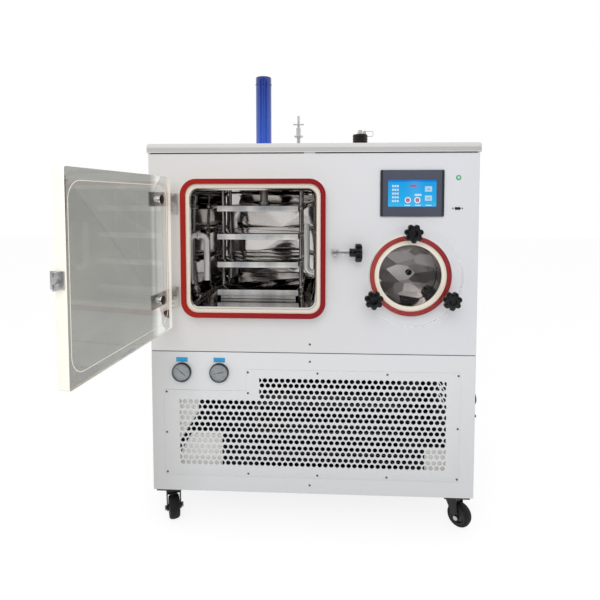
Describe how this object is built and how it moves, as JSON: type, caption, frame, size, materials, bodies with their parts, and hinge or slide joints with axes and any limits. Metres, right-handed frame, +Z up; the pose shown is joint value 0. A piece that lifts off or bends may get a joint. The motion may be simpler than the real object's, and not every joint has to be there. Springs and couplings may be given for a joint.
{
  "type": "freeze dryer",
  "caption": "Pilot freeze dryer: sheet-metal cabinet on casters, square vacuum chamber with hinged clear door and shelf press, windowed cold trap, touch panel, gauges and cooling plant.",
  "frame": {"origin": "middle of the machine's bounding footprint, on the floor under the casters", "axes": "+X to the right seen from the front, +Y from the front panels to the rear, +Z up"},
  "size_m": [1.092, 1.32, 1.5708],
  "materials": {
    "cabinet_paint": "satin",
    "frame_paint": "matte",
    "caster_metal": "satin",
    "caster_rubber": "matte",
    "polished_steel": "polished",
    "satin_steel": "satin",
    "cream_plastic": "satin",
    "red_silicone": "satin",
    "blue_paint": "gloss",
    "clear_acrylic": "polished",
    "black_plastic": "gloss",
    "grey_plastic": "satin",
    "fin_aluminium": "satin",
    "black_paint": "satin"
  },
  "bodies": {
    "root": {"base_frame": "frame_paint", "upper_front_panel": "cabinet_paint", "lower_front_panel": "cabinet_paint", "vent_cover": "cabinet_paint", "left_side_panel": "cabinet_paint", "right_side_panel": "cabinet_paint", "rear_panel": "cabinet_paint", "top_cover": "cabinet_paint", "caster_plate_front_left": "caster_metal", "caster_plate_front_right": "caster_metal", "caster_bracket_rear_left": "caster_metal", "caster_bracket_rear_right": "caster_metal", "chamber_vessel": "polished_steel", "chamber_collar": "cream_plastic", "door_gasket": "red_silicone", "bottom_shelf_rack": "satin_steel", "ram_cylinder": "blue_paint", "oil_pipe_left": "polished_steel", "oil_pipe_right": "polished_steel", "hinge_base_upper": "satin_steel", "hinge_base_lower": "satin_steel", "latch_clevis": "satin_steel", "trap_vessel": "polished_steel", "trap_collar": "cream_plastic", "trap_gasket": "red_silicone", "trap_window": "clear_acrylic", "trap_baffle": "polished_steel", "vapour_duct": "satin_steel", "touch_panel": "grey_plastic", "gauge_left": "black_plastic", "gauge_right": "black_plastic", "condenser": "fin_aluminium", "fan_motor": "black_paint", "compressor": "black_paint", "circulation_pump": "frame_paint", "vent_valve": "satin_steel", "vacuum_port": "black_plastic"},
    "door": {"door_pane": "clear_acrylic", "hinge_arm_upper": "satin_steel", "hinge_arm_lower": "satin_steel", "door_strike": "satin_steel"},
    "swing_bolt": {"swing_bolt": "satin_steel"},
    "latch_knob": {"latch_knob": "black_plastic"},
    "trap_knob_top": {"trap_knob_top": "black_plastic"},
    "trap_knob_left": {"trap_knob_left": "black_plastic"},
    "trap_knob_right": {"trap_knob_right": "black_plastic"},
    "swivel_left": {"caster_fork_front_left": "caster_metal"},
    "swivel_right": {"caster_fork_front_right": "caster_metal"},
    "wheel_front_left": {"caster_wheel_front_left": "caster_rubber"},
    "wheel_front_right": {"caster_wheel_front_right": "caster_rubber"},
    "wheel_rear_left": {"caster_wheel_rear_left": "caster_rubber"},
    "wheel_rear_right": {"caster_wheel_rear_right": "caster_rubber"},
    "press": {"ram_rod": "polished_steel", "shelf_1": "satin_steel"},
    "shelf_2": {"shelf_2": "satin_steel"},
    "shelf_3": {"shelf_3": "satin_steel"},
    "vent_handle": {"vent_valve_handle": "satin_steel"},
    "needle_left": {"gauge_needle_left": "black_plastic"},
    "needle_right": {"gauge_needle_right": "black_plastic"},
    "fan": {"condenser_fan": "black_plastic"}
  },
  "joints": [
    {"name": "door_hinge", "type": "hinge", "parent": "root", "child": "door", "pos_m": [-0.458, -0.11605, 0.93781], "axis": [0, 0, 1], "range_deg": [-73.5, 96.5]},
    {"name": "bolt_swing", "type": "hinge", "parent": "root", "child": "swing_bolt", "pos_m": [0.077, -0.09905, 0.93781], "axis": [0, 0, -1], "range_deg": [0, 90]},
    {"name": "latch_knob_turn", "type": "hinge", "parent": "swing_bolt", "child": "latch_knob", "pos_m": [0.123, -0.09905, 0.93781], "axis": [1, 0, 0], "continuous": true},
    {"name": "trap_knob_top_turn", "type": "hinge", "parent": "root", "child": "trap_knob_top", "pos_m": [0.32, -0.11065, 1.00181], "axis": [0, 1, 0], "continuous": true},
    {"name": "trap_knob_left_turn", "type": "hinge", "parent": "root", "child": "trap_knob_left", "pos_m": [0.19876, -0.11065, 0.79181], "axis": [0, 1, 0], "continuous": true},
    {"name": "trap_knob_right_turn", "type": "hinge", "parent": "root", "child": "trap_knob_right", "pos_m": [0.44124, -0.11065, 0.79181], "axis": [0, 1, 0], "continuous": true},
    {"name": "swivel_left_turn", "type": "hinge", "parent": "root", "child": "swivel_left", "pos_m": [-0.487, -0.01805, 0.1], "axis": [0, 0, 1], "continuous": true},
    {"name": "swivel_right_turn", "type": "hinge", "parent": "root", "child": "swivel_right", "pos_m": [0.487, -0.01805, 0.1], "axis": [0, 0, 1], "continuous": true},
    {"name": "wheel_front_left_roll", "type": "hinge", "parent": "swivel_left", "child": "wheel_front_left", "pos_m": [-0.47764, -0.03906, 0.03951], "axis": [0.9135, 0.4067, 0], "continuous": true},
    {"name": "wheel_front_right_roll", "type": "hinge", "parent": "swivel_right", "child": "wheel_front_right", "pos_m": [0.50409, -0.03344, 0.03951], "axis": [0.6691, 0.7431, 0], "continuous": true},
    {"name": "wheel_rear_left_roll", "type": "hinge", "parent": "root", "child": "wheel_rear_left", "pos_m": [-0.487, 0.60595, 0.03951], "axis": [1, 0, 0], "continuous": true},
    {"name": "wheel_rear_right_roll", "type": "hinge", "parent": "root", "child": "wheel_rear_right", "pos_m": [0.487, 0.60595, 0.03951], "axis": [1, 0, 0], "continuous": true},
    {"name": "press_stroke", "type": "slide", "parent": "root", "child": "press", "axis": [0, 0, -1], "range_m": [0, 0.075]},
    {"name": "shelf_2_travel", "type": "slide", "parent": "root", "child": "shelf_2", "axis": [0, 0, -1], "range_m": [0, 0.05]},
    {"name": "shelf_3_travel", "type": "slide", "parent": "root", "child": "shelf_3", "axis": [0, 0, -1], "range_m": [0, 0.025]},
    {"name": "vent_handle_turn", "type": "hinge", "parent": "root", "child": "vent_handle", "pos_m": [-0.054, 0.18395, 1.39], "axis": [0, 0, 1], "range_deg": [0, 360]},
    {"name": "needle_left_turn", "type": "hinge", "parent": "root", "child": "needle_left", "pos_m": [-0.435, -0.07365, 0.52781], "axis": [0, 1, 0], "range_deg": [-86, 184]},
    {"name": "needle_right_turn", "type": "hinge", "parent": "root", "child": "needle_right", "pos_m": [-0.308, -0.07365, 0.52781], "axis": [0, 1, 0], "range_deg": [-34, 236]},
    {"name": "fan_spin", "type": "hinge", "parent": "root", "child": "fan", "pos_m": [0.06, 0.09595, 0.30781], "axis": [0, 1, 0], "continuous": true}
  ],
  "couplings": [
    {"joint": "shelf_2_travel", "follows": "press_stroke", "ratio": 0.6666},
    {"joint": "shelf_3_travel", "follows": "press_stroke", "ratio": 0.3333}
  ]
}
